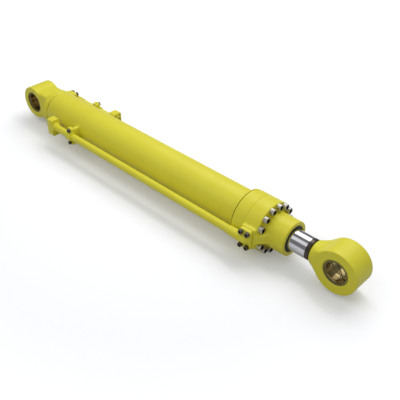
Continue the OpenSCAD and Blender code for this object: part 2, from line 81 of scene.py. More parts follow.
def mount(name):
    """A mount of the record: its place in millimetres, and its dimensions."""
    found = next(m for m in frame["record"]["mounts"] if m["name"] == name)
    return Vector(found["pos_m"]) / MM, found["dims"]


tube_low, tube_high = box("barrel_tube")
flange_low, flange_high = box("tube_flange")
head_low, head_high = box("cylinder_head")
cap_low, cap_high = box("cap_end")
rod_low, rod_high = box("piston_rod")
eye_low, eye_high = box("rod_eye")
port_plate_low, port_plate_high = box("rod_port_elbow")
cap_elbow_low, cap_elbow_high = box("cap_port_elbow")
eye_place, eye_dims = mount("rod_pin_bore")

BARREL_R = round(tube_high.y)
BORE_R = round(box("piston_seal")[1].z * 2) / 2
ROD_R = round(rod_high.z)
FLANGE_R = round(flange_high.z)
SEAM_X = tube_low.x
SPLIT_X = flange_high.x
NOSE_END = head_high.x
PAD_Y = -head_low.y
EYE_X = eye_place.x
EYE_R = eye_high.x - EYE_X
EYE_HALF = eye_high.y
CAP_R = -cap_low.x
CAP_HALF = box("cap_eye_dust_seals")[1].y + 2.5
PIN_R = eye_dims["r_mm"]
BUSH_R = round(box("rod_eye_bush")[1].z * 2) / 2
ROD_PIPE_Y = mount("rod_hose_screws")[0].y
CAP_PIPE_Y = mount("cap_hose_screws")[0].y

# Socket-head cap screws: nominal radius, head radius, head height, half of the socket's width
M16 = (8, 12, 16, 7)
M12 = (6, 9, 12, 5)
M10 = (5, 8, 10, 4)

# Other dimensions, in millimetres
HEAD_FRONT = box("head_screws")[1].x - M16[2]
PORT_X = (SPLIT_X + HEAD_FRONT) / 2
NOSE_R = 66
SCREW_PLACES = 14
FREE_PLACE = 7
SCREW_TURN = 2 * math.pi / SCREW_PLACES
SCREW_CIRCLE_R = 84.5
SEAM_GROOVE = 6
WIPER_R = 51
WIPER_DEPTH = 15
PORT_DX, PORT_DZ = 27.8, 57.2
PORT_R = 10
PIPE_R = 15
COLLAR_R = 17.5
HOSE_DY, HOSE_DZ = 23.8, 50.8
HOSE_THICK = 34
HOSE_SCREW_R = 4.8
HOSE_THREAD_PITCH = 1.5
PLATE_THICK = 14
PLATE_HALF_X, PLATE_HALF_Z = 25, 40
PAD_HALF_X, PAD_HALF_Z = 30, 42
BOSS_HALF_X = 27
ELBOW_R = 18
HOSE_HALF_Y, HOSE_HALF_Z = 21, 38
CLAMP_SCREW_Z = 29
CLAMP_SPLIT = 4
CLAMP_EAR = 8
CLAMP_EAR_Z = 39
CLAMP_PLATE = 9
CLAMP_HALF_X, CLAMP_HALF_Z = 15, 37
POST_HALF_X, POST_HALF_Z = 10, 32
POST_SUNK = 16
STRAP_THICK = 5
EYE_NECK_Z = 44
EYE_FILLET = 60
SHOULDER_V = 4
BARE_END = 16
TAIL_R = 30
BACK_GROOVE = 3.5
NUT_RECESS_R = 52
NUT_RECESS_X = 134
CAP_DISC_X = 107
NIPPLE_SUNK = 1.5
GREASE_R = 2.5
CREASE_ANGLE = 38

PORT_PLATE_Y = -PAD_Y - PLATE_THICK
CAP_PORT_X = cap_elbow_low.x + PLATE_HALF_X

fast_step = 1.0


# ---- distances, for rounded castings ----


def slab(v, low, high):
    """Distance to the layer between low and high."""
    return np.abs(v - (low + high) / 2) - (high - low) / 2


def join(a, b, radius):
    """Both shapes, with a fillet of that radius between them."""
    u, v = np.maximum(radius - a, 0), np.maximum(radius - b, 0)
    return np.maximum(radius, np.minimum(a, b)) - np.hypot(u, v)


def common(a, b, radius):
    """What both shapes hold, with its edge rounded to that radius."""
    u, v = np.maximum(radius + a, 0), np.maximum(radius + b, 0)
    return np.minimum(-radius, np.maximum(a, b)) + np.hypot(u, v)


def block(p, low, high, radius):
    """Box with all its edges rounded."""
    out = [slab(v, a + radius, b - radius) for v, a, b in zip(p, low, high)]
    far = np.sqrt(sum(np.maximum(q, 0) ** 2 for q in out))
    return far + np.minimum(np.maximum(out[0], np.maximum(out[1], out[2])), 0) - radius


def pillar(p, axis, low, high, corner, edge):
    """Box whose four edges along one axis have a corner radius, and whose ends have an edge radius."""
    u, v = [k for k in range(3) if k != axis]
    q = slab(p[u], low[u] + corner, high[u] - corner), slab(p[v], low[v] + corner, high[v] - corner)
    outline = np.hypot(np.maximum(q[0], 0), np.maximum(q[1], 0)) + np.minimum(np.maximum(*q), 0) - corner
    return common(outline, slab(p[axis], low[axis], high[axis]), edge)


# ---- mesh tools: a solid is its points and its faces ----


def surface(shape, low, high, step):
    """Surface where shape((x, y, z)) is 0: one point in each cell it crosses, moved onto it."""
    step = step * fast_step
    low = np.array(low, float) - 2 * step
    counts = np.ceil((np.array(high, float) + 2 * step - low) / step).astype(int) + 1
    grid = np.meshgrid(*[low[k] + step * np.arange(counts[k]) for k in range(3)], indexing="ij")
    value = shape(grid)
    cells = counts - 1

    def corner(offset):
        return value[tuple(slice(o, o + n) for o, n in zip(offset, cells))]

    total = np.zeros((*cells, 3))
    hits = np.zeros(cells)
    for axis in range(3):
        u, v = [k for k in range(3) if k != axis]
        for du in (0, 1):
            for dv in (0, 1):
                start = [0, 0, 0]
                start[u], start[v] = du, dv
                end = list(start)
                end[axis] = 1
                a, b = corner(start), corner(end)
                crossed = (a < 0) != (b < 0)
                along = np.where(crossed, a / np.where(crossed, a - b, 1), 0)
                hits += crossed
                for k in range(3):
                    total[..., k] += along if k == axis else crossed * start[k]
    active = hits > 0
    index = np.full(cells, -1)
    index[active] = np.arange(active.sum())
    points = low + step * (np.argwhere(active) + total[active] / hits[active][:, None])
    faces = []
    inside = value < 0
    for axis in range(3):
        u, v = (axis + 1) % 3, (axis + 2) % 3
        near = [slice(1, cells[k]) for k in range(3)]
        near[axis] = slice(0, cells[axis])
        far = list(near)
        far[axis] = slice(1, cells[axis] + 1)
        first, second = inside[tuple(near)], inside[tuple(far)]
        for outward in (True, False):
            at = np.argwhere(first & ~second if outward else second & ~first)
            at[:, u] += 1
            at[:, v] += 1
            ring = []
            for du, dv in ((-1, -1), (0, -1), (0, 0), (-1, 0)):
                cell = at.copy()
                cell[:, u] += du
                cell[:, v] += dv
                ring.append(index[tuple(cell.T)])
            faces.append(np.stack(ring if outward else ring[::-1], axis=1))
    for _ in range(4):
        points = points - pull(shape, points, step * 0.02)
    return points, np.concatenate(faces).tolist()


def pull(shape, points, reach):
    """How far each point is from the surface, as a vector along the slope of the shape."""
    slope = np.zeros_like(points)
    for k in range(3):
        ahead, behind = points.copy(), points.copy()
        ahead[:, k] += reach
        behind[:, k] -= reach
        slope[:, k] = (shape(list(ahead.T)) - shape(list(behind.T))) / (2 * reach)
    steep = np.maximum((slope**2).sum(axis=1), 0.25)
    return slope * (shape(list(points.T)) / steep)[:, None]


def rounded(corners, radius, steps=4):
    """Closed outline with each corner replaced by an arc; radius is one number or one for each corner."""
    corners = [Vector(c) for c in corners]
    radii = radius if isinstance(radius, (list, tuple)) else [radius] * len(corners)
    out = []
    for i, (corner, r) in enumerate(zip(corners, radii)):
        back, on = corners[i - 1] - corner, corners[(i + 1) % len(corners)] - corner
        half = back.angle(on) / 2
        reach = min(r / math.tan(half), back.length * 0.45, on.length * 0.45) if r else 0
        if reach < 1e-6 or half > math.pi / 2 - 0.02:
            out.append(corner)
            continue
        r = reach * math.tan(half)
        centre = corner + (back.normalized() + on.normalized()).normalized() * (r / math.sin(half))
        a, b = corner + back.normalized() * reach - centre, corner + on.normalized() * reach - centre
        turn = a.angle(b)
        for k in range(steps + 1):
            s = k / steps
            out.append(centre + (a * math.sin((1 - s) * turn) + b * math.sin(s * turn)) / math.sin(turn))
    return out


def ring_faces(rings, count):
    """Faces between each ring of points and the next, and from the last ring to the first."""
    faces = []
    for i in range(rings):
        near, far = i * count, (i + 1) % rings * count
        for k in range(count):
            m = (k + 1) % count
            faces.append((near + k, far + k, far + m, near + m))
    return faces


def lathe(outline, axis="x", centre=(0, 0, 0), segments=128):
    """Closed outline of (along, radius) turned about an axis through centre."""
    angle = np.arange(segments) * 2 * math.pi / segments
    along = np.array([c[0] for c in outline])
    radius = np.array([c[1] for c in outline])
    a = np.repeat(along[:, None], segments, axis=1)
    u, v = radius[:, None] * np.cos(angle), radius[:, None] * np.sin(angle)
    order = {"x": (a, u, v), "y": (u, a, v), "z": (u, v, a)}[axis]
    points = np.stack(order, axis=2).reshape(-1, 3) + np.array(centre, float)
    return points, ring_faces(len(outline), segments)


def peg(start, length, radius, axis="x", centre=(0, 0, 0), segments=48):
    """Plain cylinder along an axis: a tool to cut a hole with."""
    outline = [(start, 0), (start, radius), (start + length, radius), (start + length, 0)]
    return lathe(outline, axis, centre, segments)


def joined(*solids):
    """Several solids as one."""
    points, faces, count = [], [], 0
    for p, f in solids:
        points.append(np.asarray(p, float))
        faces += [tuple(i + count for i in face) for face in f]
        count += len(p)
    return np.concatenate(points), faces


def moved(solid, matrix):
    """The solid after a turn and a move."""
    points = np.asarray(solid[0], float)
    m = np.array(matrix)
    return points @ m[:3, :3].T + m[:3, 3], solid[1]


def mesh_of(name, solid, scale=1.0):
    """Closed mesh of a solid, with its normals outwards."""
    mesh = bpy.data.meshes.new(name)
    mesh.from_pydata((np.asarray(solid[0]) * scale).tolist(), [], solid[1])
    b = bmesh.new()
    b.from_mesh(mesh)
    bmesh.ops.remove_doubles(b, verts=b.verts, dist=0.002 * scale)
    bmesh.ops.dissolve_degenerate(b, edges=b.edges, dist=0.0005 * scale)
    bmesh.ops.recalc_face_normals(b, faces=b.faces)
    b.to_mesh(mesh)
    b.free()
    return mesh


def carved(solid, *tools, mode="DIFFERENCE"):
    """The solid after the tools have been cut from it, or added to it."""
    objects = [bpy.data.objects.new("carve", mesh_of("carve", s)) for s in (solid, *tools)]
    for o in objects:
        bpy.context.scene.collection.objects.link(o)
    for o in objects[1:]:
        cut = objects[0].modifiers.new("cut", "BOOLEAN")
        cut.solver = "MANIFOLD"
        cut.operation = mode
        cut.object = o
    made = objects[0].evaluated_get(bpy.context.evaluated_depsgraph_get()).to_mesh()
    result = np.array([v.co[:] for v in made.vertices]), [tuple(f.vertices) for f in made.polygons]
    for o in objects:
        mesh = o.data
        bpy.data.objects.remove(o)
        bpy.data.meshes.remove(mesh)
    return result


def piece(name, solid, finish, replaces=(), body="barrel"):
    """One piece of the model: its mesh in metres, its material, its body and what it stands for."""
    mesh = mesh_of(name, solid, MM)
    mesh.shade_smooth()
    mesh.set_sharp_from_angle(angle=math.radians(CREASE_ANGLE))
    o = bpy.data.objects.new(name, mesh)
    bpy.context.scene.collection.objects.link(o)
    mesh.materials.append(finishes[finish])
    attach(o, body)
    if replaces:
        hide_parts(*replaces)
    return o


# ---- materials ----

SLOTS = {
    "paint": "yellow_paint",
    "cast paint": "yellow_paint",
    "weld paint": "yellow_paint",
    "black oxide": "black_oxide",
    "worn steel": "black_oxide",
    "bronze": "bronze",
    "steel": "bare_steel",
    "chrome": "chrome",
    "rubber": "rubber",
    "dusty rubber": "rubber",
    "dark steel": "bare_steel",
    "polymer": "seal_polymer",
}


class Shader:
    """A material with a Principled shader, and short calls that add and link its nodes."""

    def __init__(self, name, **sockets):
        self.material = bpy.data.materials.new(name)
        self.material.use_nodes = True
        self.tree = self.material.node_tree
        self.main = next(n for n in self.tree.nodes if n.type == "BSDF_PRINCIPLED")
        for key, value in sockets.items():
            self.main.inputs[key.replace("_", " ")].default_value = value
        self.place = self.add("ShaderNodeTexCoord").outputs["Object"]

    def add(self, kind, values=(), **settings):
        """A new node, with values for its inputs and settings of its own."""
        node = self.tree.nodes.new(kind)
        for key, value in settings.items():
            setattr(node, key, value)
        for key, value in dict(values).items():
            node.inputs[key].default_value = value
        return node

    def link(self, source, target):
        self.tree.links.new(source, target)

    def scaled(self, factors):
        """The place, stretched by one factor for each axis."""
        node = self.add("ShaderNodeMapping", {"Scale": factors})
        self.link(self.place, node.inputs["Vector"])
        return node.outputs["Vector"]

    def noise(self, scale, detail=2.0, rough=0.5, place=None):
        node = self.add("ShaderNodeTexNoise", {"Scale": scale, "Detail": detail, "Roughness": rough})
        self.link(place or self.place, node.inputs["Vector"])
        return node.outputs["Fac"]

    def ranged(self, source, low, high, from_low=0.3, from_high=0.7):
        """A value spread over another range."""
        limits = {"From Min": from_low, "From Max": from_high, "To Min": low, "To Max": high}
        node = self.add("ShaderNodeMapRange", limits)
        self.link(source, node.inputs["Value"])
        return node.outputs["Result"]

    def mixed(self, factor, a, b):
        """Colour between a and b; each is a colour or another node's output."""
        node = self.add("ShaderNodeMix", data_type="RGBA")
        self.link(factor, node.inputs["Factor"])
        for socket, value in ((node.inputs[6], a), (node.inputs[7], b)):
            if isinstance(value, tuple):
                socket.default_value = (*value, 1)
            else:
                self.link(value, socket)
        return node.outputs[2]

    def bump(self, height, strength, distance, under=None):
        node = self.add("ShaderNodeBump", {"Strength": strength, "Distance": distance})
        self.link(height, node.inputs["Height"])
        if under:
            self.link(under, node.inputs["Normal"])
        return node.outputs["Normal"]

    def edges(self, low, high):
        """0 in hollows and 1 on outer edges."""
        geometry = self.add("ShaderNodeNewGeometry")
        return self.ranged(geometry.outputs["Pointiness"], 0, 1, low, high)

    def finish(self, colour, roughness, normal):
        for key, source in (("Base Color", colour), ("Roughness", roughness), ("Normal", normal)):
            self.link(source, self.main.inputs[key])
        return self.material


YELLOW = (0.785, 0.725, 0.043)
YELLOW_WARM = (0.77, 0.69, 0.037)
YELLOW_PALE = (0.84, 0.79, 0.12)
# Darker olive that the paint takes in its hollows and creases: painted shade.
SHADE_OLIVE = (0.36, 0.33, 0.04)
BRONZE, OLD_BRONZE = (0.58, 0.47, 0.21), (0.22, 0.16, 0.07)
STEEL, DULL_STEEL = (0.50, 0.50, 0.51), (0.33, 0.33, 0.34)
# Bright steel for the knurled sides of the head screws: a painted highlight.
KNURL_HIGHLIGHT, KNURL_HIGHLIGHT_DARK = (0.80, 0.78, 0.71), (0.48, 0.45, 0.38)
TINTED, TINTED_DARK = (0.13, 0.11, 0.09), (0.07, 0.055, 0.05)
BLACK_OXIDE, BROWN_OXIDE, BARE_EDGE = (0.07, 0.065, 0.055), (0.12, 0.10, 0.075), (0.40, 0.38, 0.34)
CHROME, SMEARED_CHROME = (0.72, 0.71, 0.73), (0.60, 0.59, 0.615)
RUBBER, RUBBER_DARK, RUBBER_DUST = (0.035, 0.034, 0.032), (0.014, 0.014, 0.013), (0.09, 0.085, 0.075)
LIP, LIP_DARK, LIP_DUST = (0.25, 0.225, 0.06), (0.15, 0.13, 0.04), (0.34, 0.31, 0.12)
POLYMER, POLYMER_DARK, POLYMER_SPECK = (0.04, 0.06, 0.038), (0.028, 0.045, 0.026), (0.06, 0.08, 0.055)


def paint(name, grain, lumps):
    """Satin paint with a little orange peel and painted shade in its hollows; grain and lumps are the
    heights of what lies under it.
    """
    s = Shader(name, Metallic=0.0, Specular_IOR_Level=0.28, Coat_Weight=0.08, Coat_Roughness=0.22)
    tone = s.mixed(s.ranged(s.noise(9, 4), 0, 1), YELLOW, YELLOW_WARM)
    dusted = s.mixed(s.ranged(s.noise(70, 5, 0.65), 0, 0.35, 0.52, 0.75), tone, YELLOW_PALE)
    # Painted shade: hollows, where pointiness is low, turn darker olive.
    shaded_hollows = s.mixed(s.edges(0.40, 0.495), SHADE_OLIVE, dusted)
    worn = s.mixed(s.edges(0.53, 0.70), shaded_hollows, YELLOW_PALE)
    peel = s.bump(s.noise(420, 2), 0.10, 0.0004)
    under = s.bump(s.noise(170, 5, 0.6), grain, 0.0006, peel)
    normal = s.bump(s.noise(28, 3), lumps, 0.003, under)
    return s.finish(worn, s.ranged(s.noise(55, 4), 0.36, 0.47), normal)


def black_oxide():
    """Oiled black oxide, browner in places, bare on its edges."""
    s = Shader("black_oxide", Metallic=0.9, Specular_IOR_Level=0.5, Coat_Weight=0.5, Coat_Roughness=0.16)
    tone = s.mixed(s.ranged(s.noise(130, 4), 0, 1), BLACK_OXIDE, BROWN_OXIDE)
    worn = s.mixed(s.edges(0.56, 0.75), tone, BARE_EDGE)
    normal = s.bump(s.noise(900, 3), 0.12, 0.0002)
    return s.finish(worn, s.ranged(s.noise(260, 3), 0.22, 0.34), normal)


def turned_metal(name, light, dark, axis, pitch, rough, groove):
    """Metal turned on a lathe: fine rings across the axis, with a cloudy tarnish."""
    s = Shader(name, Metallic=1.0)
    cross = [4.0, 4.0, 4.0]
    cross[axis] = 1 / pitch
    rings = s.noise(1.0, 2, place=s.scaled(cross))
    cloud = s.noise(45, 5, 0.6)
    colour = s.mixed(s.ranged(cloud, 0, 1), light, dark)
    speck = s.mixed(s.ranged(s.noise(420, 3), 0, 0.5, 0.6, 0.75), colour, dark)
    normal = s.bump(rings, groove, 0.0002)
    mix = s.add("ShaderNodeMath", operation="MULTIPLY")
    s.link(s.ranged(rings, 0.85, 1.15), mix.inputs[0])
    s.link(s.ranged(cloud, *rough), mix.inputs[1])
    return s.finish(speck, mix.outputs[0], normal)


def chrome():
    """Ground and polished hard chrome: rings too fine to see, and faint smears of oil."""
    s = Shader("chrome", Metallic=1.0)
    rings = s.noise(1.0, 2, place=s.scaled((2500, 6, 6)))
    smear = s.noise(1.0, 4, 0.6, place=s.scaled((16, 60, 60)))
    colour = s.mixed(s.ranged(smear, 0, 1), CHROME, SMEARED_CHROME)
    normal = s.bump(rings, 0.04, 0.0001)
    return s.finish(colour, s.ranged(smear, 0.07, 0.17), normal)


def rubber(name, light, dark, dust):
    """Rubber with a fine grain and a little dust."""
    s = Shader(name, Metallic=0.0, Specular_IOR_Level=0.4)
    colour = s.mixed(s.ranged(s.noise(90, 5), 0, 1), light, dark)
    dusted = s.mixed(s.ranged(s.noise(600, 3), 0, 0.4, 0.58, 0.75), colour, dust)
    return s.finish(dusted, s.ranged(s.noise(200, 3), 0.5, 0.68), s.bump(s.noise(1100, 2), 0.2, 0.0003))


def polymer():
    """Dark green-grey seal plastic with turning rings."""
    s = Shader("polymer", Metallic=0.0, Specular_IOR_Level=0.45)
    rings = s.noise(1.0, 2, place=s.scaled((1800, 5, 5)))
    colour = s.mixed(s.ranged(s.noise(60, 4), 0, 1), POLYMER_DARK, POLYMER)
    speck = s.mixed(s.ranged(rings, 0, 0.3), colour, POLYMER_SPECK)
    return s.finish(speck, s.ranged(s.noise(150, 3), 0.32, 0.45), s.bump(rings, 0.15, 0.0002))


finishes = {
    "paint": paint("yellow_paint", 0.05, 0.06),
    "cast paint": paint("yellow_paint_on_casting", 0.30, 0.22),
    "weld paint": paint("yellow_paint_on_weld", 0.18, 0.30),
    "black oxide": black_oxide(),
    "bronze": turned_metal("bronze", BRONZE, OLD_BRONZE, 1, 0.0006, (0.20, 0.34), 0.35),
    "steel": turned_metal("bare_steel", STEEL, DULL_STEEL, 0, 0.0005, (0.24, 0.36), 0.30),
    "chrome": chrome(),
    "worn steel": turned_metal("worn_knurl", KNURL_HIGHLIGHT, KNURL_HIGHLIGHT_DARK, 0, 0.0008, (0.26, 0.38), 0.3),
    "dark steel": turned_metal("heat_tinted_steel", TINTED, TINTED_DARK, 0, 0.0008, (0.3, 0.45), 0.3),
    "rubber": rubber("rubber", RUBBER, RUBBER_DARK, RUBBER_DUST),
    "dusty rubber": rubber("dusty_rubber", LIP, LIP_DARK, LIP_DUST),
    "polymer": polymer(),
}


# ---- screws, nipples and welds ----


def cap_screw(size, length):
    """Socket-head cap screw along +Z with a knurled head: the head stands on z = 0."""
    shank_r, head_r, head_h, socket = size
    teeth = 36
    outline = [
        (-length, 0), (-length, shank_r - 1.2), (-length + 1.2, shank_r), (0, shank_r), (0, head_r - 0.5),
        (0.5, head_r), (head_h * 0.2, head_r), (head_h * 0.78, head_r), (head_h - 1.8, head_r),
        (head_h - 0.7, head_r - 0.5), (head_h, head_r - 1.6), (head_h, 0),
    ]
    points, faces = lathe(outline, "z", segments=teeth * 3)
    z, r = points[:, 2], np.hypot(points[:, 0], points[:, 1])
    knurled = (z > 0.6) & (z < head_h * 0.79) & (r > head_r - 0.1)
    tooth = (np.arange(len(points)) % 3 == 0) & knurled
    points[tooth, :2] *= 1 - 0.45 / head_r
    across = socket / math.cos(math.pi / 6)
    hexagon = peg(head_h * 0.45, head_h, across, "z", segments=6)
    low, high = head_h - 0.8, head_h + 0.7
    lead_in = lathe([(low, 0), (low, socket), (high, socket + 1.7), (high, 0)], "z")
    return carved((points, faces), hexagon, lead_in)


def at_head_screws(solid):
    """Copies of a solid that points along +X, one at each screw place of the head."""
    turns = [Matrix.Rotation(i * SCREW_TURN, 4, "X") for i in range(SCREW_PLACES) if i != FREE_PLACE]
    return joined(*[moved(solid, m @ Matrix.Translation((0, SCREW_CIRCLE_R, 0))) for m in turns])


def spread(solid, places):
    """Copies of a solid at several places."""
    return joined(*[moved(solid, Matrix.Translation(p)) for p in places])


def grease_nipple():
    """Grease nipple along +Z: thread, hexagon with rounded corners, and a ball head."""
    hexagon = lathe([(-0.2, 0), (-0.2, 5.6), (0.5, 6.3), (4.4, 6.3), (5, 5.6), (5, 0)], "z", segments=6)
    shell = lathe([(-1, 0), (-1, 6), (0.6, 6.12), (4.4, 6.12), (5.2, 5.4), (5.2, 0)], "z", segments=48)
    base = carved(hexagon, shell, mode="INTERSECT")
    thread = [(-6, 0), (-6, 4.2)]
    for i in range(5):
        thread += [(-5.4 + i, 5), (-4.9 + i, 4.2)]
    top = rounded(
        [(4.5, 0), (4.5, 4.1), (6, 4), (9, 2.3), (10.2, 2.4), (11.2, 3.3), (12.2, 3), (13, 1.6), (13, 0)],
        [0, 0, 0.8, 0.8, 0.5, 0.6, 0.6, 0.5, 0],
    )
    head = carved(lathe(top, "z", segments=48), peg(12, 3, 0.7, "z", segments=24))
    return joined(base, lathe(thread + [(0.2, 4.2), (0.2, 0)], "z", segments=48), head)


def bead(places, normals, width, height, pitch=2.6):
    """Weld bead along a closed line: its section is half sunk, and ripples show how it was laid."""
    places, normals = np.array(places, float), np.array(normals, float)
    ahead = np.roll(places, -1, axis=0) - places
    reach = np.concatenate([[0], np.cumsum(np.linalg.norm(ahead, axis=1))])
    ripples = max(8, round(reach[-1] / pitch))
    count = ripples * 4
    at = np.arange(count) * reach[-1] / count
    closed = np.vstack([places, places[:1]]), np.vstack([normals, normals[:1]])
    centre, up = [np.stack([np.interp(at, reach, c[:, k]) for k in range(3)], axis=1) for c in closed]
    up /= np.linalg.norm(up, axis=1)[:, None]
    along = np.roll(centre, -1, axis=0) - np.roll(centre, 1, axis=0)
    along /= np.linalg.norm(along, axis=1)[:, None]
    side = np.cross(along, up)
    side /= np.linalg.norm(side, axis=1)[:, None]
    section = 12
    turn = np.arange(section) * 2 * math.pi / section
    lag = 0.9 * np.abs(np.cos(turn))[None, :]
    wave = 0.5 + 0.5 * np.sin(np.arange(count)[:, None] * math.pi / 2 + lag)
    wander = 1 + 0.05 * np.sin(at * 0.11)[:, None]
    out_r = height * (0.86 + 0.14 * wave) * wander * np.sin(turn)[None, :]
    side_r = width / 2 * wander * np.cos(turn)[None, :] * (0.96 + 0.04 * wave)
    points = centre[:, None, :] + up[:, None, :] * out_r[..., None] + side[:, None, :] * side_r[..., None]
    return points.reshape(-1, 3), ring_faces(count, section)


def ring_bead(x, radius, width, height, y=0.0, lean=0.0):
    """Weld bead round a tube along X; lean tips its crown towards -X (negative) or +X."""
    turn = np.linspace(0, 2 * math.pi, 361)[:-1]
    radial = np.stack([np.zeros_like(turn), np.cos(turn), np.sin(turn)], axis=1)
    places = radial * radius + np.array([x, y, 0.0])
    return bead(places, radial + np.array([lean, 0, 0]), width, height)


def saddle_bead(low, high, radius, side, corner=4):
    """Weld bead where a block (low and high in x and z) stands on the barrel, on its +Y or -Y side."""
    x0, z0, x1, z1 = low[0] + corner, low[1] + corner, high[0] - corner, high[1] - corner
    outline = []
    for cx, cz, start in ((x1, z1, 0), (x0, z1, 90), (x0, z0, 180), (x1, z0, 270)):
        for k in range(7):
            a = math.radians(start + 15 * k)
            outline.append((cx + corner * math.cos(a), cz + corner * math.sin(a)))
    dense = []
    for (x0, z0), (x1, z1) in zip(outline, outline[1:] + outline[:1]):
        n = max(1, round(math.hypot(x1 - x0, z1 - z0) / 3))
        dense += [(x0 + (x1 - x0) * k / n, z0 + (z1 - z0) * k / n) for k in range(n)]
    middle = (low[0] + high[0]) / 2, (low[1] + high[1]) / 2
    places, normals = [], []
    for x, z in dense:
        y = side * math.sqrt(radius**2 - z**2)
        places.append((x, y, z))
        outward = Vector((x - middle[0], 0, z - middle[1])).normalized()
        normals.append(Vector((0, y, z)).normalized() + outward * 0.9)
    return bead(places, normals, 6.5, 3.4)


# ---- barrel ----


def make_barrel_tube():
    outline = rounded(
        [(SEAM_X, BORE_R), (SEAM_X, BARREL_R - SEAM_GROOVE), (SEAM_X + SEAM_GROOVE, BARREL_R),
         (tube_high.x, BARREL_R), (tube_high.x, BORE_R)],
        [0.5, 0.5, 0.8, 0.5, 0.5],
    )
    piece("barrel_tube_shell", lathe(outline, segments=256), "paint", ["barrel_tube"])
    # Dark bead in the seam's groove: a bare weld, and painted shade that makes the groove read as a dark
    # line.
    piece("barrel_seam_weld", ring_bead(SEAM_X, BARREL_R - 6.2, 7.4, 1.8), "dark steel")
    piece("barrel_flange_weld", ring_bead(flange_low.x - 0.5, BARREL_R + 0.5, 9, 5, lean=-0.9),
          "weld paint")


def make_tube_flange():
    x0, x1 = flange_low.x, SPLIT_X
    a, b = x0 + 3, x0 + 3 + BACK_GROOVE
    step_r = FLANGE_R - 1
    root_r = step_r - BACK_GROOVE
    outline = rounded(
        [(x0, BARREL_R), (x0, step_r), (a, step_r), (a, root_r), (b, root_r), (b, FLANGE_R), (x1, FLANGE_R),
         (x1, BORE_R), (tube_high.x, BORE_R), (tube_high.x, BARREL_R)],
        [0.5, 1.5, 0.6, 0.4, 0.4, 0.8, 1.2, 0.5, 0.3, 0.3],
    )
    # Dark ring at the groove's floor: an unpainted weld root, and painted shade that makes the groove
    # darker than its depth alone would.
    root = ring_bead((a + b) / 2, root_r - 0.4, BACK_GROOVE + 0.6, 1.6)
    piece("flange_groove_root", root, "dark steel")
    threads = at_head_screws(peg(x1 - 36, 37, M16[0]))
    ring = carved(lathe(outline, segments=256), threads)
    piece("tube_flange_ring", ring, "paint", ["tube_flange"])


# ---- head ----


def head_shape(p):
    """Flange and nose, a pad for the port, and a rib that slopes from the pad to the front."""
    x, y, z = p
    rho = np.hypot(y, z)
    flange = common(slab(x, SPLIT_X, HEAD_FRONT), rho - FLANGE_R, 2.0)
    nose = common(slab(x, SPLIT_X + 5, NOSE_END), rho - NOSE_R, 3.5)
    spigot = common(slab(x, head_low.x, SPLIT_X + 9), rho - BORE_R + 0.1, 1.5)
    pad_low = (PORT_X - PAD_HALF_X, -PAD_Y, -PAD_HALF_Z)
    pad = pillar(p, 1, pad_low, (PORT_X + PAD_HALF_X, -60, PAD_HALF_Z), 8, 2.0)
    slope_x, slope_y = 32.0, 36.0
    face = ((x - HEAD_FRONT) * slope_y - (y + PAD_Y - 2) * slope_x) / math.hypot(slope_x, slope_y)
    rib = common(block(p, (PORT_X, -PAD_Y + 2, -22), (HEAD_FRONT + slope_x, -46, 22), 7), face, 9)
    body = join(join(flange, nose, 7), rib, 7)
    return np.minimum(join(body, pad, 3), spigot)


def make_head():
    low = (head_low.x, -PAD_Y, -FLANGE_R)
    high = (NOSE_END, FLANGE_R, FLANGE_R)
    bush_low, bush_high = box("rod_bush")
    buffer_low, buffer_high = box("buffer_seal")
    seal_low, seal_high = box("rod_seal")
    groove_r, neck_r = seal_high.z, ROD_R + 0.4
    bore = [(head_low.x - 5, 0), (head_low.x - 5, 48), (bush_low.x, 48), (bush_low.x, bush_high.z),
            (bush_high.x, bush_high.z), (bush_high.x, neck_r)]
    for a, b in ((buffer_low.x, buffer_high.x), (seal_low.x, seal_high.x)):
        bore += [(a, neck_r), (a, groove_r), (b, groove_r), (b, neck_r)]
    wiper_x = NOSE_END - WIPER_DEPTH
    bore += [(wiper_x, neck_r), (wiper_x, WIPER_R), (NOSE_END - 1.5, WIPER_R),
             (NOSE_END + 1, WIPER_R + 2.5), (NOSE_END + 1, 0)]
    seal = box("head_o_ring")[0].x
    a, b, root_r, past_r = seal - 0.2, seal + 8.8, BORE_R - 5, BORE_R + 4.5
    groove = lathe([(a, root_r), (a, past_r), (b, past_r), (b, root_r)], segments=192)
    hole_r = M16[0] + 0.8
    screws = at_head_screws(lathe(
        [(SPLIT_X - 2, 0), (SPLIT_X - 2, hole_r), (HEAD_FRONT - 1, hole_r),
         (HEAD_FRONT + 1, hole_r + 2), (HEAD_FRONT + 1, 0)],
        segments=48))
    tapped = spread(peg(-PAD_Y - 2, 18, M12[0], "y"), port_corners(PORT_X))
    port = peg(-PAD_Y - 2, PAD_Y - ROD_R, PORT_R, "y", (PORT_X, 0, 0))
    solid = surface(head_shape, low, high, 1.5)
    solid = carved(solid, lathe(bore, segments=192), groove, screws, tapped, port)
    piece("cylinder_head_casting", solid, "cast paint", ["cylinder_head"])


def make_head_screws():
    """The head's screws; the knurled sides of their heads take a bright steel finish, a painted highlight.
    """
    length = HEAD_FRONT - box("head_screws")[0].x
    stand = Matrix.Translation((HEAD_FRONT, 0, 0)) @ Matrix.Rotation(math.pi / 2, 4, "Y")
    solid = at_head_screws(moved(cap_screw(M16, length), stand))
    screws = piece("head_cap_screws", solid, "black oxide", ["head_screws"])
    screws.data.materials.append(finishes["worn steel"])
    # Painted highlight: faces on the knurled side of each head get the bright steel finish.
    for face in screws.data.polygons:
        place = face.center / MM
        turn = round(math.atan2(place.z, place.y) / SCREW_TURN) * SCREW_TURN
        axis_y, axis_z = SCREW_CIRCLE_R * math.cos(turn), SCREW_CIRCLE_R * math.sin(turn)
        off = math.hypot(place.y - axis_y, place.z - axis_z)
        if off > M16[1] - 1.2 and place.x > HEAD_FRONT:
            face.material_index = 1


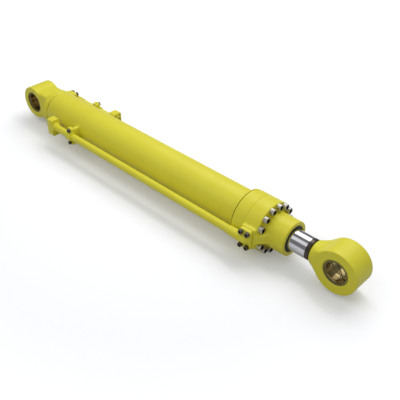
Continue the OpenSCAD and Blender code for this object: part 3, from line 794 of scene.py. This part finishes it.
def make_wiper():
    x0 = NOSE_END - WIPER_DEPTH
    outline = rounded(
        [(x0, ROD_R + 1.2), (x0, WIPER_R), (x0 + 13, WIPER_R), (x0 + 13, ROD_R + 5),
         (x0 + 14.5, ROD_R + 2.4), (x0 + 14.5, ROD_R + 0.05), (x0 + 8, ROD_R + 1.2)],
        [0.4, 0.6, 0.8, 1.0, 0.5, 0.2, 1.5],
    )
    piece("rod_wiper_lip", lathe(outline, segments=160), "rubber", ["rod_wiper"])


# ---- eyes ----


def bush(name, node, body, centre, towards):
    """Bronze bush with a figure-of-eight grease groove, chamfered ends and a grease hole."""
    half = box(node)[1].y
    around, across = 180, 72
    angle = np.arange(around) * 2 * math.pi / around
    y = np.linspace(-half + 1.2, half - 1.2, across)
    sweep = half * 0.55
    line = sweep * np.sin(2 * angle)[:, None]
    slant = np.sqrt(1 + (2 * sweep / PIN_R * np.cos(2 * angle)) ** 2)[:, None]
    off = np.minimum(np.abs(y[None, :] - line) / slant, np.abs(y[None, :]) + 0 * line)
    depth = 1.6 * np.clip(1.5 - off / 2.2, 0, 1) ** 0.5
    same = np.ones(around)
    rows = [(-half, (BUSH_R - 0.8) * same), (-half, (PIN_R + 1.2) * same)]
    rows += [(v, PIN_R + depth[:, k]) for k, v in enumerate(y)]
    rows += [(half, (PIN_R + 1.2) * same), (half, (BUSH_R - 0.8) * same),
             (half - 0.8, BUSH_R * same), (0.8 - half, BUSH_R * same)]
    ring_points = [np.stack([r * np.cos(angle), v * same, r * np.sin(angle)], axis=1) for v, r in rows]
    points, faces = np.concatenate(ring_points), ring_faces(len(rows), around)
    hole = moved(peg(PIN_R - 3, 16, GREASE_R, "z", segments=32), towards)
    solid = moved(carved((points, faces), hole), Matrix.Translation(centre))
    piece(name, solid, "bronze", [node], body)


def dust_seals(name, node, body, centre):
    """Two dust seals, each a ring with a lip that leans outwards on the pin."""
    half = box(node)[1].y
    inner = half - 6.5
    outline = rounded(
        [(inner, BUSH_R), (inner, PIN_R + 2.2), (half - 2.6, PIN_R + 2.0), (half - 0.3, PIN_R + 0.75),
         (half, PIN_R + 1.5), (half - 0.8, PIN_R + 3.4), (half - 2.2, BUSH_R - 1.6),
         (half - 0.4, BUSH_R - 1.2), (half - 0.4, BUSH_R)],
        [0.4, 0.5, 1.0, 0.2, 0.4, 1.0, 0.8, 0.3, 0.3], steps=3,
    )
    ring = lathe(outline, "y", segments=144)
    other = moved(ring, Matrix.Rotation(math.pi, 4, "Z"))
    piece(name, moved(joined(ring, other), Matrix.Translation(centre)), "dusty rubber", [node], body)


def eye_tools(half, outer_r, chamfer, towards):
    """Tools for the pin bore with its chamfers, the spot face and the grease hole of an eye."""
    wide_r = BUSH_R + chamfer + 2
    bore = [(-half - 2, 0), (-half - 2, wide_r), (-half + chamfer, BUSH_R), (half - chamfer, BUSH_R),
            (half + 2, wide_r), (half + 2, 0)]
    spot = moved(peg(outer_r - NIPPLE_SUNK, 12, 9, "z"), towards)
    hole = moved(peg(outer_r - 9, 12, 5, "z"), towards)
    drill = moved(peg(BUSH_R - 3, outer_r - BUSH_R, GREASE_R, "z", segments=32), towards)
    return [lathe(bore, "y", segments=192), spot, hole, drill]


def eye_outline(dx, z):
    """Outline of the eye seen along the pin: a circle, filleted into the neck on its -X side."""
    a = np.abs(z)
    side = EYE_NECK_Z + EYE_FILLET
    reach = math.sqrt((EYE_R + EYE_FILLET) ** 2 - side**2)
    on_fillet = -reach * a - side * dx > 0
    fillet = np.where(dx > -reach, EYE_FILLET - np.hypot(dx + reach, a - side), a - EYE_NECK_Z)
    return np.where(on_fillet, fillet, np.hypot(dx, a) - EYE_R)


def rod_eye_shape(p):
    """Eye with a neck that flares from the rod, and half of the groove between them."""
    x, y, z = p
    dx, rho, ramp = x - EYE_X, np.hypot(y, z), x - eye_low.x
    outline = eye_outline(dx, z)
    rise = np.maximum(ramp - SHOULDER_V, 0)
    flare = ROD_R + 3 + 0.30 * rise + 0.011 * rise**2
    slope = 0.30 + 0.022 * rise
    turned = (rho - flare) / np.sqrt(1 + slope**2)
    groove = (rho - ROD_R + SHOULDER_V - ramp * 1.4) / math.hypot(1, 1.4)
    neck = common(outline, slab(y, -EYE_HALF + 0.6, EYE_HALF - 0.6), 3.0)
    neck = common(neck, turned, 9)
    neck = common(common(neck, groove, 1.0), -ramp, 0.3)
    disc = common(np.hypot(dx, z) - EYE_R, slab(y, -EYE_HALF, EYE_HALF), 2.5)
    return join(disc, neck, 1.0)


def make_rod_eye():
    down = Matrix.Rotation(math.pi, 4, "X")
    middle = Matrix.Translation((EYE_X, 0, 0))
    low = (eye_low.x, -EYE_HALF, -EYE_R)
    high = (eye_high.x, EYE_HALF, EYE_R)
    tools = [moved(t, middle) for t in eye_tools(EYE_HALF, EYE_R, 4, down)]
    solid = carved(surface(rod_eye_shape, low, high, 1.5), *tools)
    piece("rod_eye_forging", solid, "cast paint", ["rod_eye"], "rod")
    bush("rod_eye_bearing", "rod_eye_bush", "rod", (EYE_X, 0, 0), down)
    dust_seals("rod_eye_lip_seals", "rod_eye_dust_seals", "rod", (EYE_X, 0, 0))
    place = middle @ down @ Matrix.Translation((0, 0, EYE_R - NIPPLE_SUNK))
    piece("rod_eye_nipple", moved(grease_nipple(), place), "steel", ["rod_grease_nipple"], "rod")


def cap_shape(p):
    """Eye and neck on a round disc, with a boss for the port and a spigot into the barrel."""
    x, y, z = p
    rho = np.hypot(y, z)
    eye = common(np.hypot(x, z) - CAP_R, slab(y, -CAP_HALF, CAP_HALF), 3.0)
    neck = block(p, (-10, -CAP_HALF + 1, -CAP_R + 8), (CAP_DISC_X + 5, CAP_HALF - 1, CAP_R - 8), 6)
    neck = common(neck, rho - BARREL_R + 3, 5)
    disc = common(slab(x, CAP_DISC_X, SEAM_X), rho - BARREL_R, 3.0)
    disc = common(disc, (x - SEAM_X + rho - BARREL_R + SEAM_GROOVE) / math.sqrt(2), 0.8)
    boss_low = (CAP_PORT_X - BOSS_HALF_X, 0, -PAD_HALF_Z)
    boss = pillar(p, 1, boss_low, (CAP_PORT_X + BOSS_HALF_X, cap_high.y, PAD_HALF_Z), 8, 1.5)
    spigot = common(slab(x, SEAM_X - 10, cap_high.x), rho - BORE_R, 1.5)
    body = join(join(eye, neck, 4), disc, 9)
    return np.minimum(join(body, boss, 4), spigot)


def make_cap_end():
    back = Matrix.Rotation(-math.pi / 2, 4, "Y")
    recess = [(66, 0), (80, 20), (NUT_RECESS_X, 20), (NUT_RECESS_X, NUT_RECESS_R),
              (cap_high.x + 2, NUT_RECESS_R), (cap_high.x + 2, 0)]
    oil = peg(0, cap_high.y + 2, PORT_R, "y", (CAP_PORT_X, 0, 0))
    tapped = spread(peg(cap_high.y - 16, 18, M12[0], "y"), port_corners(CAP_PORT_X))
    low, high = (-CAP_R, -BARREL_R, -BARREL_R), (cap_high.x, cap_high.y, BARREL_R)
    tools = [*eye_tools(CAP_HALF, CAP_R, 2.5, back), lathe(recess), oil, tapped]
    solid = carved(surface(cap_shape, low, high, 1.6), *tools)
    piece("cap_end_casting", solid, "cast paint", ["cap_end"])
    bush("cap_eye_bearing", "cap_eye_bush", "barrel", (0, 0, 0), back)
    dust_seals("cap_eye_lip_seals", "cap_eye_dust_seals", "barrel", (0, 0, 0))
    place = back @ Matrix.Translation((0, 0, CAP_R - NIPPLE_SUNK))
    piece("cap_eye_nipple", moved(grease_nipple(), place), "steel", ["cap_grease_nipple"])


# ---- pipes, elbows, hose flanges and clamps ----


def pipe_with_collar(name, node, y, collar):
    """Oil pipe along X with a union collar between the two x of collar."""
    low, high = box(node)
    a, b = collar
    outline = [(low.x, PORT_R), (low.x, PIPE_R), (a, PIPE_R), (a, COLLAR_R)]
    at_end = b > high.x - 1
    outline += [(high.x, COLLAR_R)] if at_end else [(b, COLLAR_R), (b, PIPE_R), (high.x, PIPE_R)]
    outline += [(high.x, PORT_R)]
    solid = lathe(rounded(outline, 0.8, 3), centre=(0, y, 0), segments=96)
    piece(name, solid, "paint", [node])


def elbow(p, x, y, plate_y, end_x):
    """Elbow casting: a plate that starts at plate_y, an arm round the pipe's axis, and a ball at x."""
    low = (x - PLATE_HALF_X, plate_y, -PLATE_HALF_Z)
    plate = pillar(p, 1, low, (x + PLATE_HALF_X, plate_y + PLATE_THICK, PLATE_HALF_Z), 9, 2.0)
    arm = common(np.hypot(p[1] - y, p[2]) - ELBOW_R, slab(p[0], min(x, end_x), max(x, end_x)), 1.5)
    ball = np.sqrt((p[0] - x) ** 2 + (p[1] - y) ** 2 + p[2] ** 2) - ELBOW_R
    return join(plate, np.minimum(arm, ball), 5)


def rod_elbow_shape(p):
    body = elbow(p, PORT_X, ROD_PIPE_Y, PORT_PLATE_Y, port_plate_low.x)
    return common(body, p[1] + PAD_Y, 0.8)


def cap_elbow_shape(p):
    return elbow(p, CAP_PORT_X, CAP_PIPE_Y, cap_high.y, cap_elbow_high.x)


def port_corners(middle, y=0):
    """Places of the four screws round a port."""
    return [(middle + a * PORT_DX / 2, y, b * PORT_DZ / 2) for a in (-1, 1) for b in (-1, 1)]


def port_elbow(side, shape, low, high, x, seat_y, out, bores):
    """Elbow of one side on its pad, and its four screws, whose heads stand at seat_y."""
    foot_y = min(seat_y, seat_y - out * PLATE_THICK)
    holes = spread(peg(foot_y - 1, 18, M12[0] + 0.6, "y"), port_corners(x))
    solid = carved(surface(shape, low, high, 1.1), holes, *bores)
    piece(f"{side}_port_elbow_casting", solid, "cast paint", [f"{side}_port_elbow"])
    screw = moved(cap_screw(M12, 28), Matrix.Rotation(-out * math.pi / 2, 4, "X"))
    screws = spread(screw, port_corners(x, seat_y))
    piece(f"{side}_port_cap_screws", screws, "black oxide", [f"{side}_port_screws"])


def make_rod_port():
    low, high = port_plate_low, port_plate_high
    inlet = peg(low.x - 1, PORT_X - low.x, PORT_R, "x", (0, ROD_PIPE_Y, 0))
    port = peg(ROD_PIPE_Y, 20, PORT_R, "y", (PORT_X, 0, 0))
    high = (high.x, -PAD_Y, high.z)
    port_elbow("rod", rod_elbow_shape, low, high, PORT_X, PORT_PLATE_Y, -1, [inlet, port])


def make_cap_port():
    port = peg(cap_high.y - 1, CAP_PIPE_Y - cap_high.y, PORT_R, "y", (CAP_PORT_X, 0, 0))
    outlet = peg(CAP_PORT_X, 60, PORT_R, "x", (0, CAP_PIPE_Y, 0))
    low, high, seat_y = cap_elbow_low, cap_elbow_high, cap_high.y + PLATE_THICK
    port_elbow("cap", cap_elbow_shape, low, high, CAP_PORT_X, seat_y, 1, [port, outlet])
    weld = ring_bead(cap_elbow_high.x + 1, PIPE_R + 0.3, 6, 3.6, CAP_PIPE_Y, 0.7)
    piece("cap_pipe_weld", weld, "weld paint")


def hose_flange(name, node, face_x, pipe_x, y):
    """Block with a welded-on pipe and a face with a port and four tapped holes."""
    out = 1 if face_x > pipe_x else -1
    x0, x1 = sorted((face_x, pipe_x))
    stub0, stub1 = sorted((pipe_x, pipe_x - 8 * out))

    def shape(p):
        body = pillar(p, 0, (x0, y - HOSE_HALF_Y, -HOSE_HALF_Z), (x1, y + HOSE_HALF_Y, HOSE_HALF_Z), 9, 1.8)
        radius = PIPE_R + 5 - 0.3 * np.abs(p[0] - pipe_x)
        stub = common(np.hypot(p[1] - y, p[2]) - radius, slab(p[0], stub0, stub1), 1)
        return join(body, stub, 4)

    face, past = HOSE_THICK, HOSE_THICK + 1
    port = lathe([(0, 0), (0, PORT_R), (face - 2, PORT_R), (past, PORT_R + 3), (past, 0)])
    groove = lathe([(face - 2.6, 13.5), (face - 2.6, 16.8), (past, 16.8), (past, 13.5)])
    root_r = HOSE_SCREW_R - 0.6
    tap = [(face - 22, 0), (face - 22, root_r)]
    for i in range(13):
        crest = face - 20.5 + HOSE_THREAD_PITCH * i
        tap += [(crest, HOSE_SCREW_R), (crest + HOSE_THREAD_PITCH / 2, root_r)]
    tap += [(face - 1, root_r + 0.05), (past, root_r + 2.05), (past, 0)]
    spots = [(0, a * HOSE_DY / 2, b * HOSE_DZ / 2) for a in (-1, 1) for b in (-1, 1)]
    holes = spread(lathe(tap, segments=32), spots)
    sleeve = peg(-12, 12.5, PIPE_R)
    place = Matrix.Translation((pipe_x, y, 0)) @ Matrix.Diagonal((out, out, 1, 1))
    solid = surface(shape, *box(node), 1.1)
    solid = carved(solid, *[moved(t, place) for t in (port, groove, holes, sleeve)])
    piece(name, solid, "cast paint", [node])


def make_clamp(prefix, x, y):
    """Pipe clamp: a base welded to the barrel, a saddle over the pipe, and two screws."""
    side = 1 if y > 0 else -1
    reach = abs(y)
    split = reach - CLAMP_SPLIT
    x0, x1 = x - CLAMP_HALF_X, x + CLAMP_HALF_X
    flip = Matrix.Diagonal((1, side, 1, 1))

    def base(p):
        top = pillar(p, 1, (x0, split - CLAMP_PLATE, -CLAMP_HALF_Z), (x1, split, CLAMP_HALF_Z), 4, 1.2)
        post_low = (x - POST_HALF_X, BARREL_R - POST_SUNK, -POST_HALF_Z)
        post = pillar(p, 1, post_low, (x + POST_HALF_X, split - 2, POST_HALF_Z), 4, 1.2)
        return np.maximum(join(top, post, 3), BARREL_R - 0.3 - np.hypot(p[1], p[2]))

    def saddle(p):
        ears = pillar(p, 1, (x0, split, -CLAMP_EAR_Z), (x1, split + CLAMP_EAR, CLAMP_EAR_Z), 7, 1.6)
        hump = common(np.hypot(p[1] - reach, p[2]) - PIPE_R - STRAP_THICK, slab(p[0], x0, x1), 2.2)
        return common(join(ears, hump, 6), split - p[1], 0.8)

    groove = peg(x - 20, 40, PIPE_R, "x", (0, reach, 0), 96)
    spots = [(x, 0, -CLAMP_SCREW_Z), (x, 0, CLAMP_SCREW_Z)]
    holes = spread(peg(split - 17, 40, M10[0], "y"), spots)
    wide = spread(peg(split - 1, 40, M10[0] + 0.5, "y"), spots)
    low, high = (x0, BARREL_R - POST_SUNK, -CLAMP_HALF_Z), (x1, split, CLAMP_HALF_Z)
    solid = carved(surface(base, low, high, 1.1), groove, holes)
    piece(f"{prefix}_clamp_block", moved(solid, flip), "paint", [f"{prefix}_clamp_base"])
    low, high = (x0, split, -CLAMP_EAR_Z), (x1, reach + PIPE_R + STRAP_THICK, CLAMP_EAR_Z)
    solid = carved(surface(saddle, low, high, 1.0), groove, wide)
    piece(f"{prefix}_clamp_strap", moved(solid, flip), "cast paint", [f"{prefix}_clamp_saddle"])
    screw = moved(cap_screw(M10, 24), Matrix.Rotation(-math.pi / 2, 4, "X"))
    screws = spread(screw, [(a, split + CLAMP_EAR, c) for a, _, c in spots])
    piece(f"{prefix}_clamp_cap_screws", moved(screws, flip), "black oxide", [f"{prefix}_clamp_screws"])
    foot_x, foot_z = POST_HALF_X + 1, POST_HALF_Z + 1
    weld = saddle_bead((x - foot_x, -foot_z), (x + foot_x, foot_z), BARREL_R + 0.3, side)
    piece(f"{prefix}_clamp_weld", weld, "weld paint")


def make_pipework():
    neck_x = port_plate_low.x
    pipe_with_collar("rod_oil_pipe", "rod_pipe", ROD_PIPE_Y, (neck_x - 14, neck_x))
    start = box("cap_pipe")[0].x
    pipe_with_collar("cap_oil_pipe", "cap_pipe", CAP_PIPE_Y, (start + 12, start + 26))
    for side, pipe_x in (("rod", box("rod_pipe")[0].x), ("cap", box("cap_pipe")[1].x)):
        name = f"{side}_hose_block"
        face = mount(f"{side}_hose_screws")[0]
        hose_flange(name, f"{side}_hose_flange", face.x, pipe_x, face.y)
        out = 1 if face.x > pipe_x else -1
        weld = ring_bead(pipe_x - 8.5 * out, PIPE_R + 0.2, 5, 3, face.y, -0.5 * out)
        piece(f"{name}_weld", weld, "weld paint")
    for side, y in (("rod", ROD_PIPE_Y), ("cap", CAP_PIPE_Y)):
        low, high = box(f"{side}_clamp_base")
        make_clamp(side, (low.x + high.x) / 2, y)


# ---- rod ----


def make_rod():
    piston_end = box("piston")[1].x
    chrome_end = rod_high.x - BARE_END
    groove = box("piston_o_ring")[0].x
    root_r = TAIL_R - 3.2
    outline = rounded(
        [(rod_low.x, 0.0), (rod_low.x, TAIL_R), (groove, TAIL_R), (groove, root_r), (groove + 5, root_r),
         (groove + 5, TAIL_R), (piston_end, TAIL_R), (piston_end, ROD_R - 3), (piston_end + 3, ROD_R),
         (chrome_end, ROD_R), (chrome_end, 0.0)],
        [0, 1.5, 0.3, 0.3, 0.3, 0.3, 0.5, 0.5, 1.0, 0.4, 0],
    )
    piece("chromed_rod", lathe(outline, segments=256), "chrome", ["piston_rod"], "rod")
    outline = rounded(
        [(chrome_end, 0.0), (chrome_end, ROD_R - 0.2), (rod_high.x - SHOULDER_V, ROD_R - 0.2),
         (rod_high.x, ROD_R - SHOULDER_V), (rod_high.x, 0.0)],
        [0, 0.4, 0.6, 0.3, 0],
    )
    piece("rod_bare_end", lathe(outline, segments=256), "dark steel", body="rod")


def finish_inner_nodes():
    """Materials and broken edges for the CAD nodes that stay."""
    by_slot = {slot: finish for finish, slot in reversed(SLOTS.items())}
    slot_of = {s["node"]: s["material_slot"] for s in frame["record"]["subparts"]}
    for node, o in frame["nodes"].items():
        if o.hide_render:
            continue
        for s in o.material_slots:
            s.material = finishes[by_slot[slot_of[node]]]
        soften = o.modifiers.new("edge", "BEVEL")
        soften.width = 0.0004
        soften.segments = 2
        soften.limit_method = "ANGLE"
        soften.angle_limit = math.radians(50)


# ---- studio ----


def make_floor():
    """Pale floor, which looks darker in reflections and in bounced light than to the camera."""
    mesh = bpy.data.meshes.new("floor")
    low = min(v.z for v in cad_bounds)
    half = 14
    corners = [(-half, -half, low), (half, -half, low), (half, half, low), (-half, half, low)]
    mesh.from_pydata(corners, [], [(0, 1, 2, 3)])
    floor = bpy.data.objects.new("floor", mesh)
    bpy.context.scene.collection.objects.link(floor)
    material = bpy.data.materials.new("floor")
    material.use_nodes = True
    tree = material.node_tree
    tree.nodes.clear()

    def add(kind, **inputs):
        node = tree.nodes.new(kind)
        for key, value in inputs.items():
            node.inputs[key].default_value = value
        return node

    seen = add("ShaderNodeBsdfDiffuse", Color=(0.96, 0.96, 0.97, 1))
    glow = add("ShaderNodeEmission", Color=(1, 1, 1, 1))
    place = add("ShaderNodeTexCoord")
    middle = (cad_bounds[0] + cad_bounds[1]) / 2
    offset = tree.nodes.new("ShaderNodeVectorMath")
    offset.operation = "DISTANCE"
    offset.inputs[1].default_value = (middle.x, middle.y, low)
    fade = add("ShaderNodeMapRange", **{"From Min": 0.8, "From Max": 3.2, "To Min": 0.14, "To Max": 0.75})
    both = add("ShaderNodeAddShader")
    dim = add("ShaderNodeBsdfDiffuse", Color=(0.42, 0.42, 0.43, 1))
    mirrored = add("ShaderNodeBsdfDiffuse", Color=(0.80, 0.80, 0.82, 1))
    unseen = add("ShaderNodeMixShader")
    path = add("ShaderNodeLightPath")
    mix = add("ShaderNodeMixShader")
    out = add("ShaderNodeOutputMaterial")
    for a, b in (
        (place.outputs["Object"], offset.inputs[0]),
        (offset.outputs["Value"], fade.inputs["Value"]),
        (fade.outputs["Result"], glow.inputs["Strength"]),
        (seen.outputs[0], both.inputs[0]),
        (glow.outputs[0], both.inputs[1]),
        (path.outputs["Is Camera Ray"], mix.inputs[0]),
        (path.outputs["Is Glossy Ray"], unseen.inputs[0]),
        (dim.outputs[0], unseen.inputs[1]),
        (mirrored.outputs[0], unseen.inputs[2]),
        (unseen.outputs[0], mix.inputs[1]),
        (both.outputs[0], mix.inputs[2]),
        (mix.outputs[0], out.inputs[0]),
    ):
        tree.links.new(a, b)
    mesh.materials.append(material)


def area_light(name, offset, size, energy):
    """Rectangular lamp at an offset in metres from the object's middle, turned towards it."""
    data = bpy.data.lights.new(name, "AREA")
    data.shape = "RECTANGLE"
    data.size, data.size_y = size
    data.energy = energy
    lamp = bpy.data.objects.new(name, data)
    lamp.location = (cad_bounds[0] + cad_bounds[1]) / 2 + Vector(offset)
    lamp.rotation_euler = (-Vector(offset)).to_track_quat("-Z", "Y").to_euler()
    bpy.context.scene.collection.objects.link(lamp)


def make_lights():
    area_light("overhead", (-0.2, 1.4, 2.4), (3.4, 2.2), 41)
    area_light("key_strip", (0.2, 0.9, 2.2), (1.6, 0.25), 6)
    area_light("side_panel", (-0.5, -1.4, 2.2), (3.0, 1.5), 10)
    area_light("front_fill", (1.6, -2.6, 1.2), (2.5, 1.6), 6)
    world = bpy.data.worlds.new("studio")
    world.use_nodes = True
    back = next(n for n in world.node_tree.nodes if n.type == "BACKGROUND")
    back.inputs["Color"].default_value = (0.93, 0.95, 1.0, 1)
    path = world.node_tree.nodes.new("ShaderNodeLightPath")
    level = world.node_tree.nodes.new("ShaderNodeMapRange")
    level.inputs["To Min"].default_value = 0.46
    level.inputs["To Max"].default_value = 0.22
    world.node_tree.links.new(path.outputs["Is Glossy Ray"], level.inputs["Value"])
    world.node_tree.links.new(level.outputs["Result"], back.inputs["Strength"])
    bpy.context.scene.world = world


def make_camera():
    """The photograph's viewing angle: azimuth, elevation and roll in degrees, place in metres."""
    azimuth, elevation, roll = math.radians(43.43), math.radians(36.78), math.radians(0.43)
    aim, distance = Vector((1.0701, -0.0626, 0.0)), 2.3777
    right = Vector((math.cos(azimuth), math.sin(azimuth), 0))
    ahead = Vector((math.sin(azimuth), -math.cos(azimuth), 0))
    back = ahead * math.cos(elevation) + Vector((0, 0, math.sin(elevation)))
    up = back.cross(right)
    rolled = right * math.cos(roll) + up * math.sin(roll)
    upright = back.cross(rolled)
    data = bpy.data.cameras.new("camera")
    data.lens = 57.88
    data.sensor_width = 36
    data.clip_start, data.clip_end = 0.05, 100
    camera = bpy.data.objects.new("camera", data)
    turn = Matrix((rolled, upright, back)).transposed().to_4x4()
    camera.matrix_world = Matrix.Translation(aim + back * distance) @ turn
    bpy.context.scene.collection.objects.link(camera)
    bpy.context.scene.camera = camera


make_camera()
make_floor()
make_lights()
make_barrel_tube()
make_tube_flange()
make_head()
make_head_screws()
make_wiper()
make_cap_end()
make_rod_eye()
make_rod_port()
make_cap_port()
make_pipework()
make_rod()
finish_inner_nodes()
bpy.context.scene.view_settings.view_transform = "Standard"
